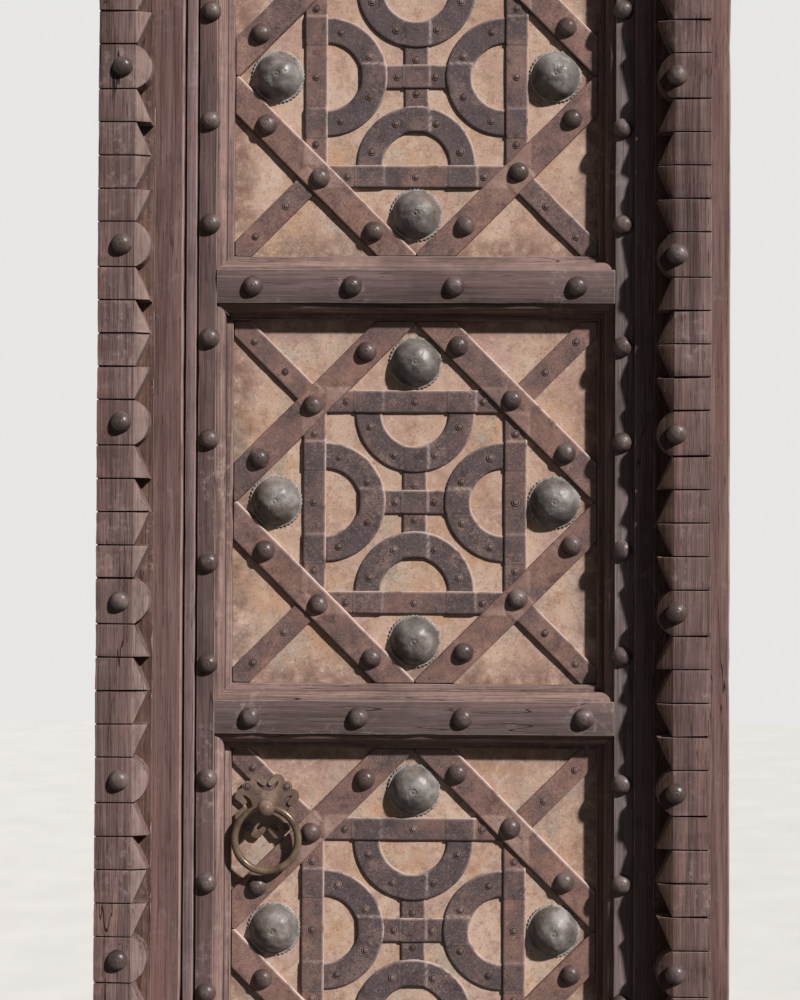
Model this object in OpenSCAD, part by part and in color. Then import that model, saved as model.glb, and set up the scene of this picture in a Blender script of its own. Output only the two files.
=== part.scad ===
// Carved wooden door with metal strapwork, hung on pivots in its own frame.
// Millimetres. X runs across the door, Y into the wall, Z up from the floor.
// The origin is at floor level in the middle of the frame, on the front face of the leaf.

/* [Leaf] */
// Clear width of a panel between the mouldings
panel_w = 590; // [490:1:680]
// Clear height of a panel between the mouldings
panel_h = 588; // [490:1:680]
// Thickness of the stiles and rails
leaf_t = 62; // [60:1:80]
// Depth of the metal sheet behind the face of the stiles
panel_recess = 38; // [34:1:40]
// Flat face of the latch stile, beside its moulding
latch_face = 28.5; // [28:0.5:60]
// Flat face of the hinge stile, from its moulding to the pivot axis
hinge_face = 27; // [27:1:50]
// Flat face of a rail between two panels
rail_face = 54; // [46:1:90]
// Flat face of the top rail
top_rail_face = 74; // [60:1:120]
// Flat face of the bottom rail
bottom_rail_face = 84; // [60:1:140]
// Depth of the rebate in the latch stile, where it closes behind the stop
rebate_d = 10; // [8:0.5:14]
// Thickness of a panel board
board_t = 16; // [10:1:16]
// Depth of the groove that holds a panel
groove_d = 10; // [6:1:12]
// Length of the tenons on the rails
tenon_l = 26; // [12:1:26]

/* [Moulding] */
// Width of the moulded edge
moulding_w = 25; // [22:1:30]
// Radius of the quarter round
round_r = 14; // [8:1:14]
// Step from the flat face down to the quarter round
round_step = 5; // [1:0.5:5]
// Depth of the inner fillet behind the face
fillet_depth = 26; // [20:1:28]

/* [Strapwork] */
// Distance from the panel centre to the middle of a square strap
square_reach = 163; // [138:1:188]
// Width of the square and corner straps
strap_w = 37; // [30:1:40]
// Width of the wide diagonal straps
wide_w = 49; // [42:1:52]
// Outer radius of the half-ring arches
arch_outer = 97; // [88:1:99]
// Inner radius of the half-ring arches
arch_inner = 54; // [44:1:62]
// Width of the cross bars
cross_w = 39; // [30:1:42]
// Thickness of the cross bars and arches
strap_t = 2.5; // [1.5:0.1:3]
// Thickness of the square straps
square_t = 3; // [2:0.1:4]
// Thickness of the corner straps
corner_t = 4.5; // [3:0.1:5]
// Thickness of the wide straps
wide_t = 6.5; // [6:0.1:9]
// Bevel along the edges of the straps
strap_bevel = 1; // [0.4:0.1:1.4]
// How far a strap stays raised beside the one that it crosses
lap = 4; // [2:0.5:6]
// Thickness of the metal sheet on a panel
sheet_t = 1.5; // [1:0.1:2]

/* [Bosses and nails] */
// Height of the dome of a boss
boss_h = 27; // [18:1:36]
// Number of teeth round the rim of a boss
boss_teeth = 40; // [24:1:48]
// Radius of the domed nails
stud_r = 17; // [12:0.5:18]
// Height of the domed nails
stud_h = 13; // [8:0.5:16]
// Distance between the nails along a wide strap
strap_stud_gap = 123; // [90:1:130]
// Distance between the nails along a stile
stile_stud_gap = 175; // [120:1:240]
// Radius of the small rivets
rivet_r = 6.5; // [4:0.25:7]
// Height of the small rivets
rivet_h = 3; // [1.5:0.25:4]

/* [Frame] */
// Height of the threshold
threshold_h = 30; // [24:1:60]
// Height of the lintel
lintel_h = 110; // [90:1:200]
// Plain plank face of the latch jamb, between the strip and the leaf
plank_w = 45.5; // [20:0.5:90]
// How far the face of the jambs stands in front of the leaf
jamb_proud = 14; // [10:1:30]
// Width of the stop bead on the latch side
latch_stop_w = 16; // [8:1:30]
// How far the latch stop stands in front of the leaf
latch_stop_proud = 6; // [4:0.5:10]
// Width of the groove between the latch stop and the plank
quirk_w = 3.5; // [2:0.5:8]
// Depth of the groove between the latch stop and the plank
quirk_d = 9; // [4:0.5:10]
// Thickness of the stop beads at the head and the hinge side
stop_t = 8; // [5:0.5:8.5]
// Radius of the holes for the wall fixings
fixing_r = 5.5; // [4:0.25:8]
// Height of the lower wall fixings
fixing_low = 450; // [200:10:800]
// Distance between the lower and upper wall fixings
fixing_gap = 2000; // [1500:10:2200]

/* [Carved strips] */
// Flat part of a carved strip
strip_flat_w = 58; // [45:1:80]
// Toothed and bevelled part of a carved strip
strip_tooth_w = 27; // [20:1:32]
// Height of the flat of a strip over the jamb
strip_t = 42; // [30:1:55]
// Fall of the bevel from the flat to the tooth tips
strip_bevel_drop = 9; // [4:0.5:14]
// Height of the ground between the teeth over the jamb
ground_t = 6; // [3:0.5:12]
// Length of one repeat of the carving
strip_period = 282; // [240:1:320]
// Length of the round lobe in each repeat
lobe_l = 72; // [56:1:80]
// Width of the saw kerfs across the flat
kerf_w = 2.4; // [1:0.1:4]
// Depth of the saw kerfs
kerf_d = 12; // [2:0.5:16]

/* [Pivots] */
// Radius of the pivot pins
pivot_r = 10; // [7:0.5:11]
// Wall of the pivot sockets round the pins
socket_wall = 8; // [5:0.5:12]
// Length of the pivot pins inside the leaf
pivot_root = 50; // [30:1:80]

/* [Ring handle] */
// Outer radius of the ring
ring_outer = 57; // [46:0.5:58]
// Radius of the rod of the ring
ring_rod_r = 6; // [4:0.25:6.5]
// Radius of the ball on the knob
knob_r = 14; // [12:0.5:16]
// Radius of the stem of the knob
stem_r = 9.5; // [9:0.25:10]
// Height of the ring above its back plate
ring_stand = 15; // [13:0.5:18]
// Thickness of the pierced back plate
plate_t = 3; // [2:0.25:4]
// Distance of the knob from the side of its panel
knob_x = 58; // [54:1:61]
// Distance of the knob below the top of its panel
knob_z = 95; // [82:1:95]

/* [Hidden] */
$fn = 48;
panel_count = 4;
ring_panel = 3;
leaf_gap = 5;
side_gap = 3;
latch_gap = 3.5;
hinge_gap = 2.5;
stop_gap = 1.5;
touch = 0.3;
run_fit = 0.05;
seat_fit = 0.1;
edge_gap = 1;
boss_gap = 0.6;
arch_gap = 5;
trim_h = 60;

// Leaf, from the panels outward
frame_x = panel_w / 2 + moulding_w;
panel_pitch = panel_h + rail_face + 2 * moulding_w;
leaf_bottom = threshold_h + leaf_gap;
lowest_panel_z = leaf_bottom + bottom_rail_face + moulding_w + panel_h / 2;
top_rail_z = lowest_panel_z + (panel_count - 1) * panel_pitch + panel_h / 2 + moulding_w;
leaf_top = top_rail_z + top_rail_face;
leaf_h = leaf_top - leaf_bottom;
heel_r = leaf_t / 2;
axis_x = frame_x + hinge_face;
axis_y = heel_r;
tenon_t = leaf_t - 6 - axis_y - pivot_r - 3;
tenon_y = axis_y + pivot_r + 3;
tenon_shoulder = 6;
tenon_fit = 0.2;

// Frame, from the leaf outward
latch_lip = latch_gap + latch_stop_w + quirk_w - side_gap;
latch_x = -(frame_x + latch_face + latch_lip + side_gap);
latch_stop_x = latch_x + quirk_w + latch_stop_w;
hinge_x = axis_x + heel_r + hinge_gap;
latch_strip_x = latch_x - plank_w;
strip_w = strip_flat_w + strip_tooth_w;
half_w = max(-latch_strip_x + strip_w, hinge_x + strip_w);
strip_face = -(jamb_proud + strip_t);
back_y = -strip_face + stud_h;
head_z = leaf_top + leaf_gap;
total_h = head_z + lintel_h;
fixing_y = back_y - 24;

// Carving: the lobes' heights, and the teeth that fill the rest of a repeat
latch_lobe_rise = 123;
hinge_lobe_rise = 108;
latch_lobe_z = lowest_panel_z + 2 * panel_pitch + latch_lobe_rise;
hinge_lobe_z = lowest_panel_z + 2 * panel_pitch + hinge_lobe_rise;
tooth_l = (strip_period - lobe_l) / 4;
valley = 1.2;
tooth_tip = strip_tooth_w - 2.5;
lobe_r = (lobe_l * lobe_l / 4 + tooth_tip * tooth_tip) / (2 * tooth_tip);
latch_stud_inset = 20;
hinge_stud_inset = 4;

// Strapwork, from the middle of a panel outward
room_x = panel_w / 2 - edge_gap;
room_z = panel_h / 2 - edge_gap;
arch_c = square_reach - strap_w / 2;
// Neighbouring arches stay clear of each other
arch_r = min(arch_outer, arch_c / sqrt(2) - arch_gap);
arch_w = arch_outer - arch_inner;
arch_mid = arch_r - arch_w / 2;
cross_half = arch_c - arch_r + arch_w - 2;
square_l = 2 * arch_c - 2;
diamond_reach = 2 * square_reach - 3;
wide_edge = diamond_reach / sqrt(2) + wide_w / 2;
corner_start = diamond_reach / sqrt(2) + 4;
corner_end = min(room_x, room_z) * sqrt(2) - strap_w / 2;
corner_rivets = [for (share = [0.32, 0.81]) wide_edge + share * (corner_end - wide_edge)];
// Rivets of a square strap, between the raised lap and the wide strap
square_rivet = min(arch_r + lap + 10, diamond_reach - wide_w / sqrt(2) - square_reach - rivet_r - 1);
// A boss fills the corner between the square and wide straps, within the panel
boss_base = arch_c + strap_w + boss_gap;
boss_fit = ((diamond_reach - boss_base) / sqrt(2) - wide_w / 2 - boss_gap) / (1 + sqrt(0.5));
function boss_r(room) = min(boss_fit, (room - boss_gap - boss_base) / 2);
boss_rim = 4.5;
boss_flange_t = 1.6;
boss_tooth_d = 2.2;
boss_dish_r = 13;
boss_dish_d = 2.2;
boss_pin_r = 3.2;

// Nails as they were set by hand: heights and places are a little uneven
latch_nail_shift = [0, -12, 10, -2, 7, -1, 0, -10];
hinge_nail_shift = [15, 9, 7, -14, 6, -14, 1, -14];
lowest_nail = 126;
// Nails of each rail: from its left end, two from its middle, from its right end
rail_nails = [[58, -92, 84, 54], [58, -102, 62, 61], [57, -90, 78, 49],
              [60, -96, 72, 58], [56, -90, 80, 56]];
latch_nail_x = -frame_x - 11;
strap_nail_shift = 7;
hinge_nail_x = frame_x + 12;

// Ring handle
plate_z = corner_t;
ring_z = plate_z + plate_t + ring_stand;
ring_mid_r = ring_outer - ring_rod_r;
eye_r = ring_rod_r + 1.2;
ball_z = ring_stand + eye_r + knob_r - 2;
plate_core = 34;
plate_lobe = 11;
plate_lobe_at = 17;
plate_side = 40.5;
plate_bay_r = 18;
plate_bay_at = 42;
plate_nail = 32;
plate_nail_lobe = 8.5;
plate_half = plate_side + plate_lobe;
// The plate lies in the corner between the wide strap and the mouldings
plate_room = (wide_w / 2 + plate_nail * sqrt(2) + plate_nail_lobe + edge_gap) * sqrt(2);
knob_top = panel_h / 2 - plate_half - edge_gap;
knob_left = max(panel_w / 2 - knob_x, diamond_reach + plate_room - knob_top);
knob_up = max(panel_h / 2 - knob_z, diamond_reach + plate_room - knob_left);

wood = [0.42, 0.31, 0.28];
plank_wood = [0.45, 0.31, 0.28];
sheet_metal = [0.66, 0.49, 0.42];
strap_metal = [0.40, 0.30, 0.30];
boss_metal = [0.30, 0.30, 0.29];
stud_metal = [0.36, 0.33, 0.32];
brass = [0.47, 0.41, 0.33];
iron = [0.25, 0.24, 0.24];

function panel_z(i) = lowest_panel_z + (panel_count - i) * panel_pitch;
// Height of the lower edge of the flat face of rail i, counted from the top
function rail_z(i) = i == 0 ? top_rail_z : panel_z(i) - panel_h / 2 - moulding_w - rail_flat(i);
function rail_flat(i) = i == 0 ? top_rail_face : i == panel_count ? bottom_rail_face : rail_face;

// Helpers

// Drawn upright: x stays, y becomes height, the thickness runs back from y0 to y1
module upright(y0, y1) {
    translate([0, y1, 0]) rotate([90, 0, 0]) linear_extrude(y1 - y0) children();
}

// Stands on the metal sheet of panel i: x and y in the sheet, z out of it
module on_panel(i) {
    translate([0, panel_recess, panel_z(i)]) rotate([90, 0, 0]) children();
}

// Points out of a face at depth y, at x and height z
module out_of_face(x, y, z) {
    translate([x, y, z]) rotate([90, 0, 0]) children();
}

module flip_x(on) {
    if (on) mirror([1, 0, 0]) children();
    else children();
}

module flip_y(on) {
    if (on) mirror([0, 1, 0]) children();
    else children();
}

// Quarter q of a panel, built from the upper right one
module quarter(q) {
    flip_y(q >= 2) flip_x(q == 1 || q == 2) children();
}

// Part of a sphere with base radius r and height h
module cap(r, h) {
    ball_r = (r * r + h * h) / (2 * h);
    intersection() {
        translate([0, 0, h - ball_r]) sphere(ball_r);
        cylinder(r = r + 1, h = h + 1);
    }
}

module stud() {
    cap(stud_r, stud_h);
}

module rivet() {
    cap(rivet_r, rivet_h);
}

// Wood of a moulded edge: x away from the flat face, y into the thickness
module moulded_edge() {
    difference() {
        union() {
            intersection() {
                translate([0, round_step + round_r]) circle(round_r);
                translate([0, round_step]) square([round_r, round_r]);
            }
            translate([0, round_step + round_r]) square([round_r, leaf_t - round_step - round_r]);
            translate([0, fillet_depth]) square([moulding_w, leaf_t - fillet_depth]);
        }
        translate([moulding_w - groove_d, panel_recess])
            square([groove_d + 1, sheet_t + board_t + 0.5]);
    }
}

// Outline of a stile from the front, with the mitred moulding beside each panel
module stile_outline(face) {
    translate([-face, leaf_bottom]) square([face, leaf_h]);
    for (i = [1 : panel_count]) {
        low = panel_z(i) - panel_h / 2;
        high = panel_z(i) + panel_h / 2;
        polygon([[0, low - moulding_w], [moulding_w, low], [moulding_w, high], [0, high + moulding_w]]);
    }
}

module tenon(i, fit) {
    reach = frame_x + tenon_l + fit;
    tall = rail_flat(i) - 2 * tenon_shoulder;
    translate([-reach, tenon_y - fit / 2, rail_z(i) + tenon_shoulder - fit])
        cube([2 * reach, tenon_t + fit, tall + 2 * fit]);
}

module rail_outline(i) {
    low = rail_z(i);
    high = low + rail_flat(i);
    inner = frame_x - moulding_w;
    translate([-frame_x, low]) square([2 * frame_x, high - low]);
    if (i > 0)
        polygon([[-frame_x, high], [frame_x, high], [inner, high + moulding_w], [-inner, high + moulding_w]]);
    if (i < panel_count)
        polygon([[-frame_x, low], [-inner, low - moulding_w], [inner, low - moulding_w], [frame_x, low]]);
}

// Cut through a rail: x into the thickness, y up
module rail_profile(i) {
    low = rail_z(i);
    high = low + rail_flat(i);
    translate([0, low]) square([leaf_t, high - low]);
    if (i > 0)
        translate([0, high]) mirror([1, -1, 0]) moulded_edge();
    if (i < panel_count)
        translate([0, low]) mirror([0, 1, 0]) mirror([1, -1, 0]) moulded_edge();
}

module rail(i) {
    color(wood) union() {
        intersection() {
            rotate([90, 0, 90]) linear_extrude(2 * frame_x, center = true) rail_profile(i);
            upright(-1, leaf_t + 1) rail_outline(i);
        }
        tenon(i, 0);
    }
}

module strap_section(w, h) {
    polygon([[-w / 2, 0], [w / 2, 0], [w / 2, h - strap_bevel], [w / 2 - strap_bevel, h],
             [strap_bevel - w / 2, h], [-w / 2, h - strap_bevel]]);
}

// Flat bar along x with bevelled edges
module bar(l, w, h) {
    rotate([90, 0, 90]) linear_extrude(l, center = true) strap_section(w, h);
}

// Where a strap lies raised over one of width w that runs along y
module raised(w) {
    translate([-w / 2 - lap, -square_reach, 0]) cube([w + 2 * lap, 2 * square_reach, trim_h]);
}

module cross_bar() {
    bar(2 * cross_half, cross_w, strap_t);
}

module half_ring(h) {
    rotate_extrude(angle = 180) translate([arch_mid, 0]) strap_section(arch_w, h);
    arch_legs(h);
}

module arch_legs(h) {
    leg = strap_w - 2;
    for (s = [-1, 1])
        translate([s * arch_mid, -leg / 2, 0]) rotate([0, 0, 90]) bar(leg, arch_w, h);
}

// Side j of the square: the middle of its inner edge, with the panel centre upward
module square_side(j) {
    rotate([0, 0, 90 * j]) translate([0, -arch_c, 0]) children();
}

module arch() {
    difference() {
        union() {
            half_ring(strap_t);
            intersection() {
                half_ring(2 * strap_t);
                raised(cross_w);
            }
        }
        translate([0, arch_c, 0]) rotate([0, 0, 90]) cross_bar();
    }
}

module square_bar(h) {
    translate([0, -strap_w / 2, 0]) bar(square_l, strap_w, h);
}

// Outer form of a square strap, raised over the legs of its arch
module square_form() {
    square_bar(square_t);
    intersection() {
        square_bar(square_t + strap_t);
        for (s = [-1, 1]) translate([s * arch_mid, 0, 0]) raised(arch_w);
    }
}

module square_strap() {
    difference() {
        square_form();
        arch_legs(strap_t);
    }
}

// Upper right quarter of the clear panel, as a block for trimming straps
module quarter_room() {
    translate([touch / 2, touch / 2, -1])
        cube([room_x, room_z, trim_h]);
}

module corner_strap() {
    long = panel_w / 2;
    intersection() {
        rotate([0, 0, 45]) translate([corner_start + long / 2, 0, 0]) bar(long, strap_w, corner_t);
        quarter_room();
    }
}

module wide_strap() {
    difference() {
        intersection() {
            translate([diamond_reach / 2, diamond_reach / 2, 0]) rotate([0, 0, 135])
                bar(panel_w + panel_h, wide_w, wide_t);
            quarter_room();
        }
        corner_strap();
        for (j = [1, 2]) square_side(j) square_form();
    }
}

// Boss with outer radius r
module boss(r) {
    step = 180 / boss_teeth;
    linear_extrude(boss_flange_t)
        polygon([for (k = [0 : 2 * boss_teeth - 1])
            (r - (k % 2) * boss_tooth_d) * [cos(k * step), sin(k * step)]]);
    top = boss_flange_t + boss_h;
    difference() {
        cap(r - boss_rim, top);
        translate([0, 0, top + boss_dish_r - boss_dish_d]) sphere(boss_dish_r);
    }
    translate([0, 0, top - boss_dish_d - 1]) cylinder(r = boss_pin_r, h = 1.8);
    translate([0, 0, top - boss_dish_d + 0.5]) sphere(boss_pin_r / 2);
}

// Right-hand outline of a carved strip, from its flat outward, over the whole height
function carving(z) = [[valley, z], [tooth_tip, z - tooth_l], [valley, z - tooth_l],
    [tooth_tip, z - 2 * tooth_l], [valley, z - 3 * tooth_l],
    [tooth_tip, z - 3 * tooth_l], [valley, z - 4 * tooth_l]];

// Numbers of the repeats above and below the lobe at height z0
function repeats(z0) = [ceil((total_h - z0) / strip_period) : -1 : -ceil(z0 / strip_period)];

module strip_outline(z0) {
    low = -3 * strip_period;
    high = total_h + 3 * strip_period;
    polygon(concat(
        [[-strip_flat_w, low], [-strip_flat_w, high], [valley, high]],
        [for (k = repeats(z0)) each carving(z0 + k * strip_period - lobe_l / 2)],
        [[valley, low]]));
    for (k = repeats(z0))
        translate([tooth_tip - lobe_r, z0 + k * strip_period]) circle(lobe_r);
}

module strip_kerfs(z0) {
    for (k = repeats(z0), j = [0 : 4]) {
        z = z0 + k * strip_period - lobe_l / 2 - j * tooth_l;
        if (z > 10 && z < total_h - 10)
            translate([-strip_flat_w - 1, strip_face - 1, z - kerf_w / 2])
                cube([strip_w + 2, kerf_d + 1, kerf_w]);
    }
}

// Carved strip with its teeth toward +x, the edge of its flat at x = 0
module carved_strip(z0) {
    tip_face = strip_face + strip_bevel_drop;
    difference() {
        union() {
            intersection() {
                linear_extrude(total_h)
                    polygon([[-strip_flat_w, -jamb_proud], [strip_tooth_w, -jamb_proud],
                             [strip_tooth_w, tip_face], [0, strip_face], [-strip_flat_w, strip_face]]);
                upright(strip_face - 1, -jamb_proud + 1) strip_outline(z0);
            }
            translate([-strip_flat_w, -jamb_proud - ground_t, 0]) cube([strip_w, ground_t, total_h]);
        }
        strip_kerfs(z0);
    }
}

// Holes along x for the bolts into the wall
module fixing_holes() {
    for (z = [fixing_low, fixing_low + fixing_gap])
        translate([0, fixing_y, z]) rotate([0, 90, 0]) cylinder(r = fixing_r, h = 4 * half_w, center = true);
}

module at_pivot(z) {
    translate([axis_x, axis_y, z]) children();
}

// Frame

module latch_jamb() {
    color(plank_wood) difference() {
        translate([-half_w, -jamb_proud, 0]) cube([half_w + latch_x, back_y + jamb_proud, head_z]);
        fixing_holes();
    }
}

module hinge_jamb() {
    color(plank_wood) difference() {
        translate([hinge_x, -jamb_proud, 0]) cube([half_w - hinge_x, back_y + jamb_proud, head_z]);
        fixing_holes();
    }
}

module lintel() {
    color(plank_wood) difference() {
        translate([-half_w, -jamb_proud, head_z]) cube([2 * half_w, back_y + jamb_proud, lintel_h]);
        at_pivot(head_z - 1) cylinder(r = pivot_r + socket_wall + seat_fit, h = 29);
    }
}

module threshold() {
    color(plank_wood) difference() {
        translate([latch_x, -jamb_proud, 0]) cube([hinge_x - latch_x, back_y + jamb_proud, threshold_h]);
        at_pivot(threshold_h - 22) cylinder(r = pivot_r + socket_wall + seat_fit, h = 40);
    }
}

module latch_strip() {
    color(wood) translate([latch_strip_x - strip_tooth_w, 0, 0]) carved_strip(latch_lobe_z);
}

module hinge_strip() {
    color(wood) translate([hinge_x + strip_tooth_w, 0, 0]) mirror([1, 0, 0]) carved_strip(hinge_lobe_z);
}

module head_strip() {
    low = 24 - lintel_h;
    color(wood) translate([latch_strip_x, 0, total_h]) rotate([90, 0, 90])
        linear_extrude(hinge_x - latch_strip_x)
            polygon([[-jamb_proud, 0], [-jamb_proud, low], [strip_face + strip_bevel_drop, low],
                     [strip_face, low + strip_tooth_w], [strip_face, 0]]);
}

// A bead with a groove beside the plank; the rebated leaf closes behind it
module latch_stop() {
    front = -latch_stop_proud;
    back = rebate_d - stop_gap;
    color(wood) translate([0, 0, threshold_h]) linear_extrude(head_z - threshold_h)
        polygon([[latch_x, back], [latch_x, front + quirk_d], [latch_x + quirk_w, front + quirk_d],
                 [latch_x + quirk_w, front], [latch_stop_x, front], [latch_stop_x, back]]);
}

module hinge_stop() {
    start = axis_x + 4;
    color(wood) translate([start, -stop_gap - stop_t, threshold_h])
        cube([hinge_x - start, stop_t, head_z - threshold_h]);
}

module head_stop() {
    color(wood) translate([latch_stop_x, -stop_gap - stop_t, head_z - 20])
        cube([axis_x + 4 - latch_stop_x, stop_t, 20]);
}

module strip_studs() {
    color(stud_metal) {
        for (k = repeats(latch_lobe_z)) {
            z = latch_lobe_z + k * strip_period;
            if (z > 40 && z < total_h - 40)
                out_of_face(latch_strip_x - strip_tooth_w - latch_stud_inset, strip_face, z) stud();
        }
        for (k = repeats(hinge_lobe_z)) {
            z = hinge_lobe_z + k * strip_period;
            if (z > 40 && z < total_h - 40)
                out_of_face(hinge_x + strip_tooth_w + hinge_stud_inset, strip_face, z) stud();
        }
    }
}

module bottom_socket() {
    color(iron) difference() {
        at_pivot(threshold_h - 22) cylinder(r = pivot_r + socket_wall, h = 22);
        at_pivot(threshold_h - 18) cylinder(r = pivot_r + run_fit, h = 30);
    }
}

module top_socket() {
    color(iron) difference() {
        at_pivot(head_z) cylinder(r = pivot_r + socket_wall, h = 28);
        at_pivot(head_z - 1) cylinder(r = pivot_r + run_fit, h = 25);
    }
}

// Leaf

module latch_stile() {
    color(wood) difference() {
        translate([-frame_x, 0, 0]) intersection() {
            translate([0, 0, leaf_bottom]) linear_extrude(leaf_h) union() {
                translate([-latch_face, 0]) square([latch_face, leaf_t]);
                translate([-latch_face - latch_lip, rebate_d]) square([latch_lip + 1, leaf_t - rebate_d]);
                moulded_edge();
            }
            upright(-1, leaf_t + 1) stile_outline(latch_face + latch_lip);
        }
        for (i = [0 : panel_count]) tenon(i, tenon_fit);
    }
}

module hinge_stile() {
    color(wood) difference() {
        translate([frame_x, 0, 0]) mirror([1, 0, 0]) intersection() {
            translate([0, 0, leaf_bottom]) linear_extrude(leaf_h) union() {
                translate([-hinge_face, 0]) square([hinge_face, leaf_t]);
                translate([-hinge_face, heel_r]) circle(heel_r);
                moulded_edge();
            }
            upright(-1, leaf_t + 1) stile_outline(hinge_face + heel_r);
        }
        for (i = [0 : panel_count]) tenon(i, tenon_fit);
        at_pivot(leaf_bottom - 1) cylinder(r = pivot_r + run_fit, h = pivot_root + 1);
        at_pivot(leaf_top - pivot_root) cylinder(r = pivot_r + run_fit, h = pivot_root + 1);
    }
}

module board(i) {
    w = panel_w + 2 * (groove_d - 1);
    h = panel_h + 2 * (groove_d - 1);
    color(wood) translate([-w / 2, panel_recess + sheet_t, panel_z(i) - h / 2]) cube([w, board_t, h]);
}

module sheet(i) {
    w = panel_w + 2 * (groove_d - 1);
    h = panel_h + 2 * (groove_d - 1);
    color(sheet_metal) translate([-w / 2, panel_recess, panel_z(i) - h / 2]) cube([w, sheet_t, h]);
}

// A vertical bar, and a horizontal one raised over it
module cross(i) {
    color(strap_metal) on_panel(i) {
        rotate([0, 0, 90]) cross_bar();
        difference() {
            union() {
                cross_bar();
                intersection() {
                    bar(2 * cross_half, cross_w, 2 * strap_t);
                    raised(cross_w);
                }
            }
            rotate([0, 0, 90]) bar(2 * cross_half, cross_w + 2 * seat_fit, strap_t + seat_fit);
        }
    }
}

module arches(i) {
    color(strap_metal) on_panel(i)
        for (j = [0 : 3]) square_side(j) arch();
}

module square_straps(i) {
    color(strap_metal) on_panel(i)
        for (j = [0 : 3]) square_side(j) square_strap();
}

module corners(i) {
    color(strap_metal) on_panel(i)
        for (q = [0 : 3]) quarter(q) corner_strap();
}

module diamond(i) {
    color(strap_metal) on_panel(i)
        for (q = [0 : 3]) quarter(q) wide_strap();
}

module bosses() {
    color(boss_metal) for (i = [1 : panel_count]) on_panel(i)
        for (j = [0 : 3]) {
            r = boss_r(j % 2 == 0 ? room_x : room_z);
            rotate([0, 0, 90 * j]) translate([boss_base + r, 0, 0]) boss(r);
        }
}

module stile_studs() {
    last = floor((leaf_h - lowest_nail - 60) / stile_stud_gap);
    color(stud_metal) for (k = [0 : last]) {
        z = leaf_bottom + lowest_nail + k * stile_stud_gap;
        out_of_face(latch_nail_x, 0, z + latch_nail_shift[k % 8]) stud();
        out_of_face(hinge_nail_x, 0, z + hinge_nail_shift[k % 8]) stud();
    }
}

module rail_studs() {
    color(stud_metal) for (i = [0 : panel_count]) {
        mid = rail_z(i) + (i == 0 ? (rail_flat(i) - 20) / 2 : rail_flat(i) / 2);
        nails = rail_nails[i];
        for (x = [nails[0] - frame_x, nails[1], nails[2], frame_x - nails[3]])
            out_of_face(x, 0, mid) stud();
    }
}

// Distance along a wide strap between its nails, toward a side of the panel of this size
function strap_nail_gap(size) =
    min(strap_stud_gap, (size / 2 - edge_gap - stud_r - diamond_reach / 2) * sqrt(2) - strap_nail_shift);

module strap_studs() {
    half = diamond_reach / 2;
    color(stud_metal) for (i = [1 : panel_count]) on_panel(i)
        for (q = [0 : 3], k = [-1 : 1]) {
            gap = strap_nail_gap(k > 0 ? panel_w : panel_h);
            along = (k * gap + (q % 2 == 0 ? -1 : 1) * strap_nail_shift) / sqrt(2);
            quarter(q) translate([half + along, half - along, wide_t]) stud();
        }
}

module rivets() {
    color(stud_metal) {
        for (i = [1 : panel_count]) on_panel(i) {
            for (j = [0 : 3]) square_side(j) {
                translate([0, -strap_w / 2, square_t]) rivet();
                for (s = [-1, 1]) {
                    translate([s * square_rivet, -strap_w / 2, square_t]) rivet();
                    rotate([0, 0, 26 * s]) translate([0, arch_mid, strap_t]) rivet();
                    rotate([0, 0, 73 * s]) translate([0, arch_mid, strap_t]) rivet();
                }
            }
            for (s = [-1, 1]) {
                translate([s * (cross_w / 2 + lap + rivet_r + 1), 0, strap_t]) rivet();
                translate([0, s * (cross_w / 2 + rivet_r + 2), strap_t]) rivet();
            }
            for (q = [0 : 3], d = corner_rivets)
                if (i != ring_panel || q != 1 || d > corner_rivets[0])
                    quarter(q) rotate([0, 0, 45]) translate([d, 0, corner_t]) rivet();
        }
        on_panel(ring_panel) translate([-knob_left, knob_up, plate_z + plate_t])
            for (a = [0 : 3]) rotate([0, 0, 90 * a]) translate([plate_nail, plate_nail, 0]) rivet();
    }
}

module bottom_pivot() {
    low = threshold_h - 18 + touch;
    color(iron) {
        at_pivot(low) cylinder(r = pivot_r, h = leaf_bottom + pivot_root - touch - low);
        at_pivot(leaf_bottom - 3) cylinder(r = pivot_r + socket_wall, h = 3);
    }
}

module top_pivot() {
    color(iron) {
        at_pivot(leaf_top - pivot_root + touch) cylinder(r = pivot_r, h = pivot_root + leaf_gap + 22);
        at_pivot(leaf_top) cylinder(r = pivot_r + socket_wall, h = 3);
    }
}

// Ring handle

// One side of the back plate: two round leaves with a round bay between them
module plate_leaves() {
    for (s = [-1, 1]) translate([s * plate_lobe_at, plate_side]) circle(plate_lobe);
}

module plate_bay() {
    translate([0, plate_bay_at]) circle(plate_bay_r);
}

// The leaves' tips curl into the bay as two drops
module plate_drop(s) {
    thick = 6;
    thin = 4.3;
    root = [s * 15, 46];
    tip = [s * 5.8, 37.5];
    along = (tip - root) / norm(tip - root);
    side = 0.97 * [-along[1], along[0]];
    translate(root) circle(thick);
    translate(tip) circle(thin);
    polygon([root - thick * side, tip - thin * side, tip + thin * side, root + thick * side]);
}

module plate_outline() {
    union() {
        difference() {
            union() {
                square(2 * plate_core, center = true);
                for (a = [0 : 3]) rotate(90 * a) {
                    plate_leaves();
                    translate([plate_nail, plate_nail]) circle(plate_nail_lobe);
                }
            }
            for (a = [0 : 3]) rotate(90 * a) plate_bay();
        }
        for (a = [0 : 3], s = [-1, 1]) rotate(90 * a) plate_drop(s);
    }
}

module ring_plate() {
    color(brass) on_panel(ring_panel) translate([-knob_left, knob_up, plate_z])
        linear_extrude(plate_t) plate_outline();
}

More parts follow.
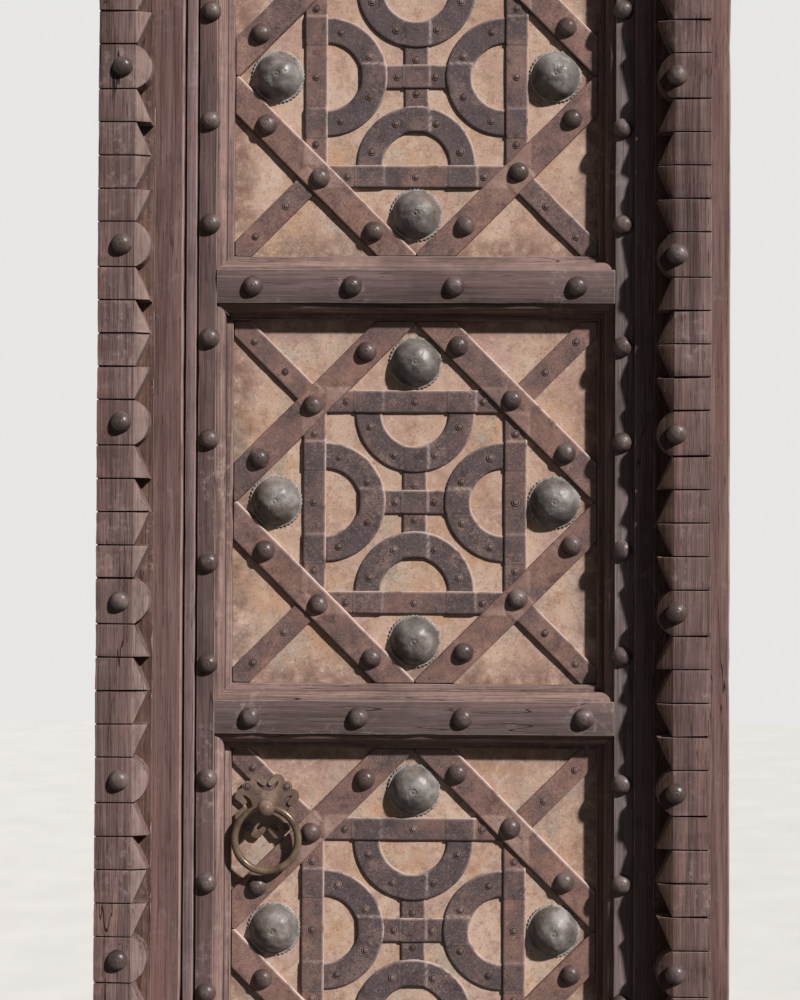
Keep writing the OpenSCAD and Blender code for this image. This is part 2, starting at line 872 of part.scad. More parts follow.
module ring_knob() {
    color(brass) on_panel(ring_panel) translate([-knob_left, knob_up, plate_z + plate_t]) difference() {
        union() {
            cylinder(r = stem_r + 4, h = 3);
            cylinder(r = stem_r, h = ball_z);
            translate([0, 0, ball_z]) sphere(knob_r);
        }
        translate([0, 0, ring_stand]) rotate([0, 90, 0]) cylinder(r = eye_r, h = 4 * knob_r, center = true);
    }
}

module pull_ring() {
    color(brass) on_panel(ring_panel) translate([-knob_left, knob_up - ring_mid_r, ring_z])
        rotate_extrude() translate([ring_mid_r, 0]) circle(ring_rod_r);
}

latch_jamb();
hinge_jamb();
lintel();
threshold();
latch_strip();
hinge_strip();
head_strip();
latch_stop();
hinge_stop();
head_stop();
strip_studs();
bottom_socket();
top_socket();
latch_stile();
hinge_stile();
rail(0);  // top_rail
rail(1);  // upper_rail
rail(2);  // middle_rail
rail(3);  // lower_rail
rail(4);  // bottom_rail
board(1);  // board_1
board(2);  // board_2
board(3);  // board_3
board(4);  // board_4
sheet(1);  // sheet_1
sheet(2);  // sheet_2
sheet(3);  // sheet_3
sheet(4);  // sheet_4
cross(1);  // cross_1
cross(2);  // cross_2
cross(3);  // cross_3
cross(4);  // cross_4
arches(1);  // arches_1
arches(2);  // arches_2
arches(3);  // arches_3
arches(4);  // arches_4
square_straps(1);  // square_1
square_straps(2);  // square_2
square_straps(3);  // square_3
square_straps(4);  // square_4
corners(1);  // corners_1
corners(2);  // corners_2
corners(3);  // corners_3
corners(4);  // corners_4
diamond(1);  // diamond_1
diamond(2);  // diamond_2
diamond(3);  // diamond_3
diamond(4);  // diamond_4
bosses();
stile_studs();
rail_studs();
strap_studs();
rivets();
bottom_pivot();
top_pivot();
ring_plate();
ring_knob();
pull_ring();
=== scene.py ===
import math
import random

import bmesh
import bpy
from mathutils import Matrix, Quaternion, Vector, noise


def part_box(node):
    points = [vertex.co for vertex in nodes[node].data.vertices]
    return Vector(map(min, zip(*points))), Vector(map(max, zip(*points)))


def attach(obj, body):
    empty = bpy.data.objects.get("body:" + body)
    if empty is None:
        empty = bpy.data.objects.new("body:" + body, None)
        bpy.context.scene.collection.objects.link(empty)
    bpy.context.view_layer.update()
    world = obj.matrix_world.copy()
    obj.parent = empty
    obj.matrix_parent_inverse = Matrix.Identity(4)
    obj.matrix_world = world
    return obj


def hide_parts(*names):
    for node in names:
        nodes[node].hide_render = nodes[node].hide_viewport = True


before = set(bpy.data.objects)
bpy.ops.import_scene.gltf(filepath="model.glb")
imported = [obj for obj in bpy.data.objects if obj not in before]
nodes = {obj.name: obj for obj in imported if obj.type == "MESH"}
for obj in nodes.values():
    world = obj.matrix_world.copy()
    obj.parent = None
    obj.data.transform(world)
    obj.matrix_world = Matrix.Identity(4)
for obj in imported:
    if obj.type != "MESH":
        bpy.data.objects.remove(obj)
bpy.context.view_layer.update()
scene = bpy.context.scene
scene.view_settings.view_transform = "Standard"
# without a seed, noise_vector differs from run to run
NOISE_SEED = 5
noise.seed_set(NOISE_SEED)
MM = 0.001
# vertices nearer than this are one
WELD = 1e-5
# faces are one below COPLANAR, edges are worn above WORN and shaded hard above CREASE, and the ironwork's and
# handle's edges are rounded above ROUNDED
COPLANAR, WORN, CREASE, ROUNDED = (math.radians(a) for a in (0.6, 28, 38, 35))
PANELS = (1, 2, 3, 4)
# index of the axis along a piece
ACROSS, UPRIGHT = 0, 2

# Sizes of the strapwork in millimetres, as the solids have them
PANEL_W, PANEL_H = 590, 588
REACH = 163
STRAP_W, WIDE_W, CROSS_W = 37, 49, 39
ARCH_OUT, ARCH_IN = 97, 54
STRAP_T, SQUARE_T, CORNER_T, WIDE_T = 2.5, 3.0, 4.5, 6.5
ARCH_C = REACH - STRAP_W / 2
ARCH_MID = (ARCH_OUT + ARCH_IN) / 2
ARCH_W = ARCH_OUT - ARCH_IN
CROSS_HALF = ARCH_C - ARCH_IN - 2
SQUARE_L = 2 * ARCH_C - 2
DIAMOND = 2 * REACH - 3
DIAGONAL = math.sqrt(0.5)
CORNER_START = DIAMOND * DIAGONAL + 4
WIDE_LIFT = 1.3
STUD_R, STUD_H = 17, 13
RIVET_R = 6.5
BOSS_H = 28.6
BOSS_TEETH, STUD_SEGMENTS, RIVET_SEGMENTS = 40, 28, 18

# Wear of each kind of timber in metres: bevel of its edges, step between the cuts across its length,
# waviness of its faces and depth of its chips
WEAR = {
    "jamb": (0.0030, 0.04, 0.0007, 0.0015),
    "beam": (0.0025, 0.04, 0.0007, 0.0015),
    "stop": (0.0012, 0.03, 0.0005, 0.0010),
    "head": (0.0020, 0.03, 0.0006, 0.0014),
    "carved": (0.0011, 0.010, 0.0009, 0.0015),
    "leaf": (0.0011, 0.03, 0.0006, 0.0012),
    "board": (0.0015, 0.05, 0.0004, 0.0008),
}

# A moulding lies behind MOULDING_Y, and a carved strip's ground GROUND_DEPTH or more behind its face
MOULDING_Y, GROUND_DEPTH = 0.004, 0.012

# Each sun's name, energy, spread in degrees and direction, then the world's strength as light and as seen
SUNS = (("key", 5.5, 2.5, (-0.60, 0.50, -0.60)), ("back", 2.4, 12.0, (0.55, -0.65, -0.50)))
SUN_COLOUR = (1.0, 0.965, 0.93)
FILL, BACKGROUND = 0.045, 0.80
FLOOR_BOUNCE = (0.032, 0.031, 0.03)
FLOOR_HALF, FLOOR_Z = 14, -0.001

# Camera place in metres, angles in radians, focal length in picture heights
CAM_AT = (0.0316, -3.0, 1.7842)
CAM_YAW, CAM_PITCH, CAM_ROLL = 0.0184, 0.0135, 0.0042
CAM_FOCAL = 1.872
SENSOR = 24


def centre(name):
    low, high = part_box(name)
    return (Vector(low) + Vector(high)) / 2


SHEET_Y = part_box("sheet_1")[0][1]
PANEL_Z = {i: centre(f"sheet_{i}").z for i in PANELS}


# Shader helpers


class Tree:
    def __init__(self, name):
        self.mat = bpy.data.materials.new(name)
        self.mat.use_nodes = True
        self.nodes = self.mat.node_tree.nodes
        self.links = self.mat.node_tree.links
        self.bsdf = self.nodes["Principled BSDF"]
        self.coord = self.new("ShaderNodeTexCoord").outputs["Object"]

    def new(self, kind, **props):
        n = self.nodes.new(kind)
        for k, v in props.items():
            setattr(n, k, v)
        return n

    def put(self, socket, value):
        if isinstance(value, bpy.types.NodeSocket):
            self.links.new(value, socket)
        else:
            socket.default_value = value

    def scaled(self, scale, shift=(0, 0, 0)):
        n = self.new("ShaderNodeMapping")
        self.put(n.inputs["Vector"], self.coord)
        n.inputs["Scale"].default_value = scale
        n.inputs["Location"].default_value = shift
        return n.outputs["Vector"]

    def noise(self, vector, scale, detail=4, rough=0.55, warp=0.0):
        n = self.new("ShaderNodeTexNoise")
        self.put(n.inputs["Vector"], vector)
        n.inputs["Scale"].default_value = scale
        n.inputs["Detail"].default_value = detail
        n.inputs["Roughness"].default_value = rough
        n.inputs["Distortion"].default_value = warp
        return n.outputs["Fac"]

    def span(self, value, a, b, lo=0.0, hi=1.0):
        n = self.new("ShaderNodeMapRange", interpolation_type="SMOOTHSTEP")
        self.put(n.inputs["Value"], value)
        for key, v in (("From Min", a), ("From Max", b), ("To Min", lo), ("To Max", hi)):
            self.put(n.inputs[key], v)
        return n.outputs["Result"]

    def math(self, op, a, b=0.0):
        n = self.new("ShaderNodeMath", operation=op)
        self.put(n.inputs[0], a)
        self.put(n.inputs[1], b)
        return n.outputs[0]

    def mix(self, fac, a, b, mode="MIX"):
        n = self.new("ShaderNodeMix", data_type="RGBA", blend_type=mode)
        self.put(n.inputs["Factor"], fac)
        self.put(n.inputs["A"], a if isinstance(a, bpy.types.NodeSocket) else (*a, 1))
        self.put(n.inputs["B"], b if isinstance(b, bpy.types.NodeSocket) else (*b, 1))
        return n.outputs["Result"]

    def ramp(self, fac, *stops):
        n = self.new("ShaderNodeValToRGB")
        self.put(n.inputs["Fac"], fac)
        e = n.color_ramp.elements
        while len(e) < len(stops):
            e.new(0.5)
        for el, (pos, col) in zip(e, stops):
            el.position = pos
            el.color = (*col, 1)
        return n.outputs["Color"]

    def attribute(self, name):
        return self.new("ShaderNodeAttribute", attribute_name=name).outputs["Fac"]

    def bump(self, height, strength, distance, normal=None):
        n = self.new("ShaderNodeBump")
        n.inputs["Strength"].default_value = strength
        n.inputs["Distance"].default_value = distance
        self.put(n.inputs["Height"], height)
        if normal is not None:
            self.put(n.inputs["Normal"], normal)
        return n.outputs["Normal"]

    def finish(self, color, rough, normal=None, metal=0.0, specular=0.5):
        self.put(self.bsdf.inputs["Base Color"], color)
        self.put(self.bsdf.inputs["Roughness"], rough)
        self.bsdf.inputs["Metallic"].default_value = metal
        self.bsdf.inputs["Specular IOR Level"].default_value = specular
        if normal is not None:
            self.put(self.bsdf.inputs["Normal"], normal)
        return self.mat


def wood(name, axis, dark, mid, light, seed, worn=(0.34, 0.25, 0.22), red=0.0, dust=0.25, grey=0.4, tint=None,
         relief=0.5):
    """Old timber with its grain along one axis of the frame: streaks, pores, cracks, dust and rubbed edges,
    with painted shade in inner corners and on the hinge strip's slanting faces, and a painted highlight on the
    latch strip's slanting faces.

    tint is the colour of the faces that the tint attribute marks: mouldings and carved grounds, where it is
    partly painted shade, and the hinge strip's slanting faces, where it is painted shade."""
    t = Tree(name)
    shift = (seed * 1.7, seed * 0.9, seed * 2.3)

    def along(stretch):
        return t.scaled((stretch, 1, 1) if axis == "x" else (1, 1, stretch), shift)

    hair = t.noise(along(0.012), 900, 2, 0.5)
    fine = t.noise(along(0.02), 330, 5, 0.6)
    streak = t.noise(along(0.035), 95, 5, 0.6, 0.4)
    band = t.noise(along(0.09), 30, 4, 0.55, 0.6)
    even = t.scaled((1, 1, 1), shift)
    patch = t.noise(even, 7, 6, 0.62)
    spot = t.noise(even, 70, 5, 0.65)
    tone = t.math("ADD", t.math("MULTIPLY", hair, 0.22), t.math("MULTIPLY", fine, 0.30))
    tone = t.math("ADD", tone, t.math("MULTIPLY", streak, 0.28))
    tone = t.math("ADD", tone, t.math("MULTIPLY", band, 0.20))
    col = t.ramp(tone, (0.40, dark), (0.50, mid), (0.61, light))
    # reddish and greyish stretches of the same plank
    col = t.mix(t.span(band, 0.50, 0.66, 0, 0.45), col, t.mix(1.0, col, (1.16, 0.92, 0.86), "MULTIPLY"))
    col = t.mix(t.span(patch, 0.50, 0.66, 0, grey), col, t.mix(1.0, col, (1.06, 1.17, 1.24), "MULTIPLY"))
    if tint:
        grain = t.ramp(tone, (0.42, (0.52, 0.50, 0.50)), (0.58, (1.42, 1.44, 1.46)))
        marked = t.math("MULTIPLY", t.attribute("tint"), t.span(spot, 0.30, 0.55, 0.6, 1.0))
        col = t.mix(marked, col, t.mix(1.0, grain, tint, "MULTIPLY"))
    # dust and scuffs catch on the grain, grime darkens other places
    scuff = t.math("MULTIPLY", t.span(patch, 0.50, 0.62), t.span(spot, 0.50, 0.66))
    col = t.mix(t.math("MULTIPLY", scuff, dust), col, (0.42, 0.32, 0.29))
    col = t.mix(t.span(patch, 0.46, 0.32, 0, 0.4), col, tuple(c * 0.75 for c in dark))
    # drying cracks: thin long contours of a stretched noise, only here and there
    line = t.math("ABSOLUTE", t.math("SUBTRACT", t.noise(along(0.05), 42, 2, 0.5, 0.2), 0.5))
    here = t.span(t.noise(along(0.3), 9, 2, 0.5), 0.53, 0.60)
    crack = t.math("MULTIPLY", t.span(line, 0.0065, 0.002), here)
    pore = t.math("MULTIPLY", t.span(t.noise(along(0.05), 620, 2, 0.5), 0.36, 0.29), 0.7)
    col = t.mix(pore, col, tuple(c * 0.5 for c in dark))
    col = t.mix(t.math("MULTIPLY", crack, 0.9), col, tuple(c * 0.2 for c in dark))
    if red:
        flake = t.noise(t.scaled((1, 1, 0.35), (seed, 3, 1)), 34, 6, 0.72)
        col = t.mix(t.span(flake, 0.64, 0.70, 0, red), col, (0.25, 0.05, 0.055))
    wear_and_painted_light = t.attribute("wear_and_painted_light")
    rub_and_highlight = t.math("MULTIPLY", wear_and_painted_light, t.span(t.noise(along(0.25), 75, 5, 0.65), 0.30, 0.56, 0.25, 1.0))
    # pale where rubbed on arrises, and as a painted highlight on the latch strip's slanting faces
    col = t.mix(t.math("MULTIPLY", rub_and_highlight, 0.8), col, worn)
    # painted shade: inner corners and the hinge strip's slanting faces are darkened
    col = t.mix(t.span(wear_and_painted_light, -0.1, -0.9, 0, 0.8), col, tuple(c * 0.3 for c in dark))
    rough = t.span(tone, 0.4, 0.62, 0.84, 0.64)
    height = t.math("ADD", t.math("MULTIPLY", fine, 0.5), t.math("MULTIPLY", streak, 0.9))
    height = t.math("ADD", height, t.math("MULTIPLY", hair, 0.15))
    height = t.math("SUBTRACT", height, t.math("ADD", crack, t.math("MULTIPLY", pore, 0.3)))
    nrm = t.bump(height, relief, 0.0015)
    nrm = t.bump(spot, relief * 0.44, 0.0014, nrm)
    return t.finish(col, rough, nrm, specular=0.1)


def strap_metal(name, seed):
    """Brown rusted strap metal: mottled, dusty, rubbed bright at its ends and where it climbs, with a painted
    highlight on edges facing up and right and painted shade on edges facing down and left.

    The tone attribute runs from grey (0) to red brown (1), the attribute of wear and painted light marks the
    edges."""
    t = Tree(name)
    v = t.scaled((1, 1, 1), (seed, seed * 0.7, seed * 1.3))
    big = t.noise(v, 11, 6, 0.62, 0.5)
    mid = t.noise(v, 48, 6, 0.66)
    grit = t.noise(v, 380, 4, 0.62)
    lean = t.math("ADD", t.attribute("tone"), t.math("MULTIPLY", t.math("SUBTRACT", big, 0.5), 3.0))
    col = t.ramp(t.math("MULTIPLY", lean, 0.6), (0.03, (0.090, 0.068, 0.073)), (0.27, (0.146, 0.094, 0.088)),
                 (0.57, (0.242, 0.138, 0.114)), (0.90, (0.350, 0.245, 0.215)))
    col = t.mix(t.span(mid, 0.52, 0.66, 0, 0.65), col, t.mix(1.0, col, (1.45, 1.36, 1.32), "MULTIPLY"))
    col = t.mix(t.span(mid, 0.47, 0.33, 0, 0.75), col, t.mix(1.0, col, (0.56, 0.53, 0.55), "MULTIPLY"))
    speck = t.noise(v, 170, 5, 0.72)
    col = t.mix(t.span(speck, 0.55, 0.68, 0, 0.42), col, (0.31, 0.205, 0.17))
    col = t.mix(t.span(speck, 0.44, 0.32, 0, 0.55), col, (0.045, 0.030, 0.030))
    col = t.mix(t.span(grit, 0.56, 0.66, 0, 0.50), col, (0.34, 0.24, 0.20))
    col = t.mix(t.span(grit, 0.44, 0.34, 0, 0.60), col, (0.040, 0.026, 0.026))
    pit = t.span(t.noise(v, 190, 4, 0.7), 0.72, 0.62)
    col = t.mix(t.math("MULTIPLY", t.math("SUBTRACT", 1.0, pit), 0.4), col, (0.040, 0.025, 0.024))
    dusty = t.math("MULTIPLY", t.span(t.noise(v, 17, 5, 0.62), 0.52, 0.66), t.span(grit, 0.36, 0.56))
    col = t.mix(t.math("MULTIPLY", dusty, 0.34), col, (0.40, 0.265, 0.22))
    wear_and_painted_light = t.attribute("wear_and_painted_light")
    edge = t.math("MULTIPLY", wear_and_painted_light, t.span(mid, 0.34, 0.52, 0.3, 1.0))
    # pale where the attribute is above 0: rubbed ends and climbs, and a painted highlight on edges facing up
    # and right
    col = t.mix(t.math("MULTIPLY", edge, 0.75), col, (0.54, 0.42, 0.38))
    # dark where it is below 0: painted shade on edges facing down and left
    col = t.mix(t.span(wear_and_painted_light, -0.1, -0.8, 0, 0.75), col, (0.050, 0.029, 0.026))
    rough = t.span(big, 0.3, 0.7, 0.44, 0.62)
    h = t.math("ADD", t.math("MULTIPLY", mid, 0.9), t.math("MULTIPLY", grit, 0.2))
    nrm = t.bump(t.math("ADD", h, t.math("MULTIPLY", pit, 0.3)), 0.4, 0.0013)
    nrm = t.bump(t.noise(v, 22, 3, 0.5), 0.32, 0.004, nrm)
    return t.finish(col, rough, nrm, specular=0.18)


def sheet_metal(name, seed):
    """Tan copper-coloured sheet, stained and speckled, darker toward its edges."""
    t = Tree(name)
    v = t.scaled((1, 1, 1), (seed * 2.1, 0, seed))
    big = t.noise(v, 6, 6, 0.62, 0.6)
    mid = t.noise(v, 30, 6, 0.68)
    stain = t.noise(t.scaled((1, 1, 0.6), (seed, 5, 2)), 14, 6, 0.66, 0.4)
    grit = t.noise(v, 260, 5, 0.7)
    col = t.ramp(big, (0.34, (0.430, 0.270, 0.215)), (0.50, (0.540, 0.370, 0.282)),
                 (0.66, (0.610, 0.450, 0.358)))
    drift = t.noise(t.scaled((1, 1, 1), (seed * 0.6, 2, seed * 1.1)), 9, 5, 0.65, 0.5)
    col = t.mix(t.span(drift, 0.52, 0.66, 0, 0.75), col, (0.500, 0.295, 0.180))
    col = t.mix(t.span(drift, 0.47, 0.34, 0, 0.75), col, (0.480, 0.310, 0.280))
    col = t.mix(t.span(stain, 0.53, 0.67, 0, 0.8), col, (0.400, 0.340, 0.280))
    col = t.mix(t.span(stain, 0.45, 0.33, 0, 0.55), col, (0.370, 0.210, 0.170))
    col = t.mix(t.span(mid, 0.54, 0.68, 0, 0.6), col, t.mix(1.0, col, (0.70, 0.66, 0.65), "MULTIPLY"))
    col = t.mix(t.span(mid, 0.44, 0.30, 0, 0.5), col, (0.60, 0.48, 0.39))
    speck = t.noise(v, 120, 6, 0.75)
    blotch = t.noise(t.scaled((1, 1, 1), (seed * 3.3, 1, seed)), 42, 5, 0.7, 0.6)
    col = t.mix(t.span(blotch, 0.53, 0.64, 0, 0.55), col, (0.350, 0.212, 0.165))
    col = t.mix(t.span(blotch, 0.46, 0.36, 0, 0.55), col, (0.610, 0.480, 0.395))
    col = t.mix(t.span(speck, 0.56, 0.68, 0, 0.6), col, (0.27, 0.16, 0.12))
    col = t.mix(t.span(speck, 0.43, 0.33, 0, 0.45), col, (0.65, 0.52, 0.43))
    col = t.mix(t.span(grit, 0.56, 0.66, 0, 0.7), col, (0.21, 0.12, 0.09))
    col = t.mix(t.span(grit, 0.43, 0.34, 0, 0.5), col, (0.66, 0.55, 0.46))
    # clusters of dark pits and red rust
    pits = t.math("MULTIPLY", t.span(t.noise(v, 210, 3, 0.6), 0.60, 0.66), t.span(stain, 0.44, 0.60))
    col = t.mix(t.math("MULTIPLY", pits, 0.55), col, (0.17, 0.085, 0.060))
    # darker toward the sheet's edges, less along its top
    edge_darkening = t.math("MULTIPLY", t.attribute("wear_and_painted_light"), t.span(mid, 0.30, 0.62))
    col = t.mix(t.math("MULTIPLY", edge_darkening, 0.75), col, (0.16, 0.098, 0.078))
    rough = t.span(mid, 0.3, 0.7, 0.48, 0.68)
    nrm = t.bump(t.math("ADD", mid, t.math("MULTIPLY", grit, 0.4)), 0.32, 0.0012)
    nrm = t.bump(t.noise(v, 13, 3, 0.5), 0.3, 0.006, nrm)
    return t.finish(col, rough, nrm, specular=0.12)


def cast_metal(name, seed, dark, mid, light, rough=(0.32, 0.5), metal=0.4, stain=None, specular=0.5):
    """Dark worn metal with a patchy patina, for bosses, nails, ring and pins."""
    t = Tree(name)
    v = t.scaled((1, 1, 1), (seed, seed * 1.9, seed * 0.4))
    big = t.noise(v, 24, 6, 0.62)
    spot = t.noise(v, 110, 5, 0.65)
    grit = t.noise(v, 520, 4, 0.6)
    col = t.ramp(big, (0.36, dark), (0.50, mid), (0.64, light))
    if stain:
        col = t.mix(t.span(t.noise(v, 15, 5, 0.6), 0.50, 0.66, 0, 0.7), col, stain)
    col = t.mix(t.span(spot, 0.58, 0.70, 0, 0.6), col, tuple(c * 0.6 for c in dark))
    col = t.mix(t.span(grit, 0.60, 0.70, 0, 0.4), col, tuple(min(1, c * 1.5) for c in light))
    # pale where the attribute is above 0: dust on the boss rims, painted highlight on the stud rings and on the
    # rivets' crests and heads, which are partly rubbed
    edge = t.math("MULTIPLY", t.attribute("wear_and_painted_light"), t.span(spot, 0.36, 0.58))
    col = t.mix(t.math("MULTIPLY", edge, 0.65), col, tuple(min(1, c * 1.8) for c in light))
    # dark where it is below 0: painted shade in the rivets' grooves and round their foot
    col = t.mix(t.span(t.attribute("wear_and_painted_light"), -0.1, -0.9, 0, 0.8), col, tuple(c * 0.35 for c in dark))
    nrm = t.bump(t.math("ADD", t.math("MULTIPLY", spot, 0.8), t.math("MULTIPLY", grit, 0.25)), 0.28, 0.0009)
    return t.finish(col, t.span(big, 0.3, 0.7, rough[0], rough[1]), nrm, metal, specular)


# Dark, middle and light colours of the woods, then the colours of mouldings and carved grounds; the carved
# grounds' colour is partly painted shade of their recess and also paints shade on the hinge strip's slanting
# teeth
LEAF = ((0.062, 0.041, 0.040), (0.122, 0.081, 0.078), (0.190, 0.134, 0.128))
GREY = ((0.090, 0.070, 0.068), (0.212, 0.170, 0.164), (0.320, 0.265, 0.257))
RAIL = ((0.078, 0.055, 0.053), (0.136, 0.097, 0.093), (0.192, 0.143, 0.138))
PLANK = ((0.072, 0.041, 0.038), (0.142, 0.085, 0.078), (0.205, 0.134, 0.124))
CARVED = ((0.070, 0.046, 0.043), (0.152, 0.098, 0.091), (0.250, 0.172, 0.158))
BEAD = ((0.105, 0.072, 0.072), (0.185, 0.130, 0.128), (0.255, 0.190, 0.188))
MOULDING = (0.225, 0.148, 0.131)
# carved ground: darker wood, partly painted shade of its recess, and painted shade on the hinge strip's
# slanting faces
GROUND_AND_PAINTED_SHADE = (0.110, 0.064, 0.050)
M = {
    "stile": wood("leaf_wood_upright", "z", *LEAF, 1, red=0.25, dust=0.4, tint=MOULDING),
    "grey stile": wood("leaf_wood_grey", "z", *GREY, 9, dust=0.5, grey=0.6, tint=MOULDING),
    "rail": wood("leaf_wood_across", "x", *RAIL, 2, red=0.2, dust=0.5, grey=0.6, tint=MOULDING),
    "board": wood("board_wood", "z", *LEAF, 5),
    "plank": wood("frame_wood_upright", "z", *PLANK, 3, dust=0.15, grey=0.25),
    "beam": wood("frame_wood_across", "x", *PLANK, 4, dust=0.15, grey=0.25),
    "carved": wood("carved_wood", "z", *CARVED, 6, worn=(0.37, 0.27, 0.24), red=0.15, dust=0.35, tint=GROUND_AND_PAINTED_SHADE,
                   relief=0.95),
    "bead": wood("bead_wood", "z", *BEAD, 7, red=0.6, grey=0.6),
    "head": wood("head_wood", "x", *CARVED, 8, dust=0.3),
    "boss": cast_metal("boss_patina", 1, (0.076, 0.066, 0.061), (0.156, 0.139, 0.132), (0.272, 0.250, 0.241),
                       (0.30, 0.42), 0.0, (0.124, 0.092, 0.064), 0.22),
    "stud": cast_metal("stud_metal", 2, (0.040, 0.027, 0.025), (0.080, 0.056, 0.052), (0.155, 0.118, 0.111),
                       (0.31, 0.43), 0.0, (0.078, 0.047, 0.041), 0.30),
    "rivet": cast_metal("rivet_metal", 3, (0.062, 0.041, 0.039), (0.120, 0.081, 0.075), (0.205, 0.145, 0.130),
                        (0.34, 0.5), 0.0, None, 0.12),
    "brass": cast_metal("handle_brass", 4, (0.072, 0.048, 0.030), (0.138, 0.094, 0.058),
                        (0.230, 0.165, 0.104), (0.23, 0.36), 0.15, (0.100, 0.074, 0.056), 0.25),
    "plate": cast_metal("plate_brass", 6, (0.095, 0.063, 0.050), (0.165, 0.110, 0.086), (0.265, 0.190, 0.150),
                        (0.36, 0.52), 0.05, (0.110, 0.078, 0.060), 0.15),
    "iron": cast_metal("pivot_iron", 5, (0.03, 0.028, 0.028), (0.065, 0.06, 0.058), (0.12, 0.11, 0.105),
                       (0.4, 0.6)),
}
STRAPS = {i: strap_metal(f"strap_metal_{i}", 1.0 + 3.1 * i) for i in PANELS}
SHEETS = {i: sheet_metal(f"sheet_metal_{i}", 0.5 + 1.7 * i) for i in PANELS}


# Mesh helpers


def make(name, verts, faces, mat, body, wear_and_painted_light, replaces, tone=None):
    """A piece that stands for the CAD nodes in replaces, with its wear and painted light and its tone at each
    vertex.
    """
    me = bpy.data.meshes.new(name)
    me.from_pydata(verts, [], faces)
    for key, values in (("wear_and_painted_light", wear_and_painted_light), ("tone", tone)):
        if values is not None:
            me.attributes.new(key, "FLOAT", "POINT").data.foreach_set("value", values)
    me.materials.append(mat)
    me.update()
    # backs and ends that lie against other pieces stay flat, so that the shading in view doesn't bend to them
    me.polygons.foreach_set("use_smooth", [p.normal.y < 0.9 and len(p.vertices) < 5 for p in me.polygons])
    me.update()
    ob = bpy.data.objects.new(name, me)
    scene.collection.objects.link(ob)
    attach(ob, body)
    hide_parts(*replaces)


def turned(radius_height, segments):
    """Points and faces of a turned form, profile from the rim to the tip: z is out of the face."""
    verts, faces = [], []
    rings = len(radius_height)
    for r, h in radius_height:
        for k in range(segments):
            a = 2 * math.pi * k / segments
            verts.append((r * math.cos(a), r * math.sin(a), h))
    verts.append((0, 0, radius_height[-1][1]))
    for i in range(rings - 1):
        for k in range(segments):
            a, b = i * segments + k, i * segments + (k + 1) % segments
            faces.append((a, b, b + segments, a + segments))
    top = (rings - 1) * segments
    for k in range(segments):
        faces.append((top + k, top + (k + 1) % segments, len(verts) - 1))
    faces.append(tuple(reversed(range(segments))))
    return verts, faces


def dome_profile(r, h, steps):
    """Radius and height along a dome, from its rim to short of its tip."""
    ball = (r * r + h * h) / (2 * h)
    end = math.asin(min(1, r / ball))
    if h > ball:
        end = math.pi - end
    turns = [end * (1 - k / steps) for k in range(steps)]
    return [(ball * math.sin(a), h - ball + ball * math.cos(a)) for a in turns]


def many(name, node, form, mat, body, seed, tilt, shrink):
    """One mesh with a copy of form at each solid of a CAD node, pointing to the front, each one turned, tilted,
    shrunk and dented a little differently."""
    rng = random.Random(seed)
    fv, ff, fw = form
    verts, faces, wear_and_painted_light = [], [], []
    for x, y, z in solid_middles(node):
        base = len(verts)
        turn = rng.uniform(0, 2 * math.pi)
        ca, sa = math.cos(turn), math.sin(turn)
        g = 1 - rng.uniform(0, shrink)
        tx, tz = rng.uniform(-tilt, tilt), rng.uniform(-tilt, tilt)
        dent = Vector((rng.uniform(0, 99), rng.uniform(0, 99), rng.uniform(0, 99)))
        for a, b, c in fv:
            a, b = g * (a * ca - b * sa), g * (a * sa + b * ca)
            c = g * c
            p = Vector((a, b, c))
            c *= 1 + 0.05 * noise.noise(p * 0.09 + dent) + 0.015 * noise.noise(p * 0.3 + dent)
            verts.append((x + (a + tx * c) * MM, y - c * MM, z + (b + tz * c) * MM))
        wear_and_painted_light += fw
        faces += [tuple(base + i for i in reversed(f)) for f in ff]
    make(name, verts, faces, mat, body, wear_and_painted_light, (node,))


def solid_middles(name):
    """Middle of each separate solid of a CAD node, on the face that it stands on."""
    bm = bmesh.new()
    bm.from_mesh(nodes[name].data)
    bmesh.ops.remove_doubles(bm, verts=bm.verts, dist=WELD)
    left = set(bm.verts)
    out = []
    while left:
        stack = [left.pop()]
        part = [stack[0]]
        while stack:
            v = stack.pop()
            for e in v.link_edges:
                o = e.other_vert(v)
                if o in left:
                    left.discard(o)
                    stack.append(o)
                    part.append(o)
        xs, ys, zs = [v.co.x for v in part], [v.co.y for v in part], [v.co.z for v in part]
        out.append(((min(xs) + max(xs)) / 2, max(ys), (min(zs) + max(zs)) / 2))
    bm.free()
    return sorted(out)


def sloped(face):
    """Tint and wear of a leaf piece: a moulding faces the front and lies behind the flat."""
    behind = face.calc_center_median().y > MOULDING_Y
    return (1.0 if face.normal.y < -0.12 and behind else 0.0), 0.0


def carving(slant_painted_light):
    """Tint, and wear with painted light, of a carved strip: its flats, the ground behind the teeth, darker and
    partly painted shade, and their slanting faces, painted pale as a painted highlight on the latch strip and
    dark as a painted shade on the hinge strip.
    """
    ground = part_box("latch_strip")[0][1] + GROUND_DEPTH

    def look(face):
        if face.normal.y < -0.97:
            deep = face.calc_center_median().y > ground
            return (1.0 if deep else 0.0), 0.0
        return slant_painted_light if face.normal.y < -0.5 else (0.0, 0.0)
    return look


